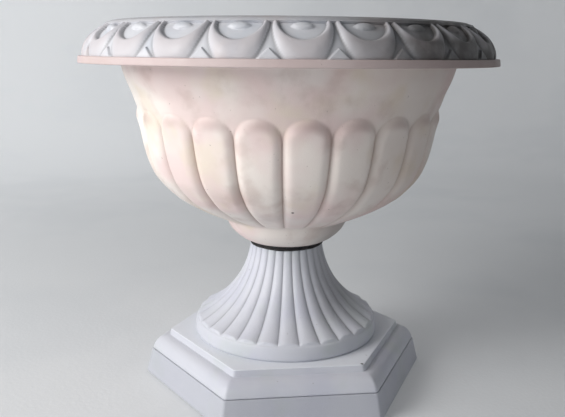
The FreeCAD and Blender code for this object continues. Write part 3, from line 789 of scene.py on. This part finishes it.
def pedestal_material():
    """Cool off-white plastic with a faint lilac tint, painted shade on the lower band, in the reeds' creases
    and on the neck's +X side, and painted light on the plinth's flat top.
    """
    surface = Surface("pedestal_white", (201, 203, 211), 0.5)
    surface.layer((191, 193, 206), surface.clouds(13.0, 0.48, 0.7, 0.7, offset=4.0))
    surface.layer((193, 199, 199), surface.clouds(19.0, 0.5, 0.7, 0.6, offset=7.7))
    # Painted shade in the creases between the reeds.
    surface.layer((110, 110, 116), surface.multiply(surface.mark("crevice"), 0.5))
    # Painted shade: the plinth's lower band, below the seam, darker.
    surface.layer((164, 166, 175), surface.along("Z", LOWER_BAND_TOP, 0.5, 0))
    # Painted light: the plinth's flat top paler.
    lit_table = surface.multiply(surface.along("Z", LIT_TABLE_BOTTOM), surface.along("Z", LIT_TABLE_TOP, 1, 0))
    surface.layer((232, 236, 242), surface.multiply(lit_table, 0.65))
    # Painted shade: the column darker on its +X side above the skirt.
    neck = surface.multiply(surface.along("X", NECK_SHADE_SIDE), surface.along("Z", NECK_HEIGHT))
    surface.layer((124, 124, 126), surface.multiply(neck, 0.5))
    scuffs = surface.clouds(140.0, 0.72, 0.77, 0.4, offset=15.0, stretch=(1, 1, 3))
    surface.layer((120, 118, 116), scuffs)
    surface.layer((40, 38, 38), surface.spot(*CORNER_SCUFF))
    moulded_grain(surface)
    return surface.finish()


def rubber_material():
    """Matte black rubber with a dusty bloom."""
    surface = Surface("black_rubber", (30, 28, 30), 0.7)
    surface.layer((92, 86, 88), surface.clouds(120.0, 0.5, 0.75, 0.6))
    surface.bump(surface.noise(500.0, 3.0), 0.0002)
    surface.rough(surface.noise(90.0, 2.0, offset=3.0), 0.6, 0.85)
    return surface.finish()


def steel_material():
    """Plain zinc-plated screw steel."""
    surface = Surface("screw_steel", (170, 170, 168), 0.35)
    surface.shader.inputs["Metallic"].default_value = 1.0
    surface.layer((120, 116, 110), surface.clouds(300.0, 0.5, 0.7, 0.6))
    surface.bump(surface.noise(800.0, 2.0), 0.00005)
    surface.rough(surface.noise(200.0, 2.0, offset=3.0), 0.3, 0.5)
    return surface.finish()


def dress(thing, material):
    """Give an object one material."""
    thing.data.materials.clear()
    thing.data.materials.append(material)


# --- Stage, lights and camera ---------------------------------------------------------------

# The floor is flat up to STAGE_FLAT from the middle, then curves up into an upright wall.
STAGE_MIDDLE = 50.0
STAGE_FLAT = 1450.0
STAGE_COVE = 1000.0
STAGE_TOP = 2800.0
GLOW_BACK = (300, 2000)
GLOW_SIDE = (-1000, 1200)

WINDOW_PLACE = (-1.62, -0.68, 1.02)
WINDOW_AIM = (0, 0, 0.2)
WINDOW_SIZE = (1.1, 1.0)
WINDOW_POWER = 34.5
WINDOW_COLOUR = (1.0, 0.985, 0.97)
WORLD_COLOUR = (0.9, 0.93, 1.0, 1.0)
WORLD_STRENGTH = 0.035

CAMERA_PLACE = (-0.0994, -0.7760, 0.3749)
CAMERA_YAW = 6.93
CAMERA_PITCH = 12.85
CAMERA_ROLL = 0.55
CAMERA_SENSOR = 36.0
CAMERA_LENS = 44.0


def floor_material():
    """Pale paint with a faint glow, stronger towards the back and the left."""
    surface = Surface("floor_paint", (206, 208, 210), 0.8)
    surface.layer((197, 200, 203), surface.clouds(3.0, 0.45, 0.65, 0.6))
    surface.bump(surface.noise(200.0, 3.0), 0.0003)
    glow = surface.multiply(surface.along("Y", GLOW_BACK, 0.16, 0.40),
                            surface.along("X", GLOW_SIDE, 1.0, 0.30))
    surface.links.new(glow, surface.shader.inputs["Emission Strength"])
    surface.shader.inputs["Emission Color"].default_value = (0.96, 0.98, 1.0, 1.0)
    return surface.finish()


def build_stage():
    """Pale round floor that sweeps up on every side into a plain backdrop."""
    wall = STAGE_FLAT + STAGE_COVE
    section = np.vstack([
        line((STAGE_MIDDLE, 0.0), (STAGE_FLAT, 0.0), 16),
        arc((STAGE_FLAT, STAGE_COVE), STAGE_COVE, -90, 0, 32),
        line((wall, STAGE_COVE), (wall, STAGE_TOP), 10),
    ])
    points = turned(section, even_angles(120))
    rows, columns, _ = points.shape
    index = np.arange(rows * columns).reshape(rows, columns)
    right = np.roll(index, -1, axis=1)
    faces = np.stack([index[:-1], index[1:], right[1:], right[:-1]], axis=-1).reshape(-1, 4).tolist()
    middle = index[0].tolist()
    mesh = bpy.data.meshes.new("floor")
    mesh.from_pydata((points.reshape(-1, 3) * MM).tolist(), [], faces + [middle])
    mesh.polygons.foreach_set("use_smooth", np.ones(len(mesh.polygons), bool))
    floor = bpy.data.objects.new("floor", mesh)
    bpy.context.scene.collection.objects.link(floor)
    dress(floor, floor_material())


def build_lights():
    """A large soft window light from the left and a dim even world."""
    data = bpy.data.lights.new("window", "AREA")
    data.shape = "RECTANGLE"
    data.size, data.size_y = WINDOW_SIZE
    data.energy = WINDOW_POWER
    data.color = WINDOW_COLOUR
    lamp = bpy.data.objects.new("window", data)
    lamp.location = WINDOW_PLACE
    direction = Vector(WINDOW_AIM) - Vector(WINDOW_PLACE)
    lamp.rotation_euler = direction.to_track_quat("-Z", "Y").to_euler()
    bpy.context.scene.collection.objects.link(lamp)
    world = bpy.data.worlds.new("studio")
    world.use_nodes = True
    background = world.node_tree.nodes["Background"]
    background.inputs["Color"].default_value = WORLD_COLOUR
    background.inputs["Strength"].default_value = WORLD_STRENGTH
    bpy.context.scene.world = world
    bpy.context.scene.view_settings.view_transform = "Standard"


def build_camera():
    """The camera stands a little left of the plinth's front face and looks slightly down."""
    data = bpy.data.cameras.new("camera")
    data.sensor_width = CAMERA_SENSOR
    data.lens = CAMERA_LENS
    camera = bpy.data.objects.new("camera", data)
    camera.location = CAMERA_PLACE
    aim = Euler((math.radians(90 - CAMERA_PITCH), 0, math.radians(-CAMERA_YAW)), "XYZ").to_matrix()
    roll = Euler((0, 0, math.radians(CAMERA_ROLL)), "XYZ").to_matrix()
    camera.rotation_euler = (aim @ roll).to_euler()
    bpy.context.scene.collection.objects.link(camera)
    bpy.context.scene.camera = camera


# --- Scene ----------------------------------------------------------------------------------

build_camera()
build_stage()
build_lights()

rubber = rubber_material()
steel = steel_material()
pedestal = pedestal_material()
dress(build_bowl(), bowl_material())
dress(build_collar(), rim_material())
dress(build_column(), pedestal)
dress(build_plinth_base(), pedestal)
dress(build_plinth_cover(), pedestal)
dress(build_seal(), rubber)
for name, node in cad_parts.items():
    if "screw" in name:
        dress(node, steel)
    elif "pad" in name or "plug" in name:
        dress(node, rubber)
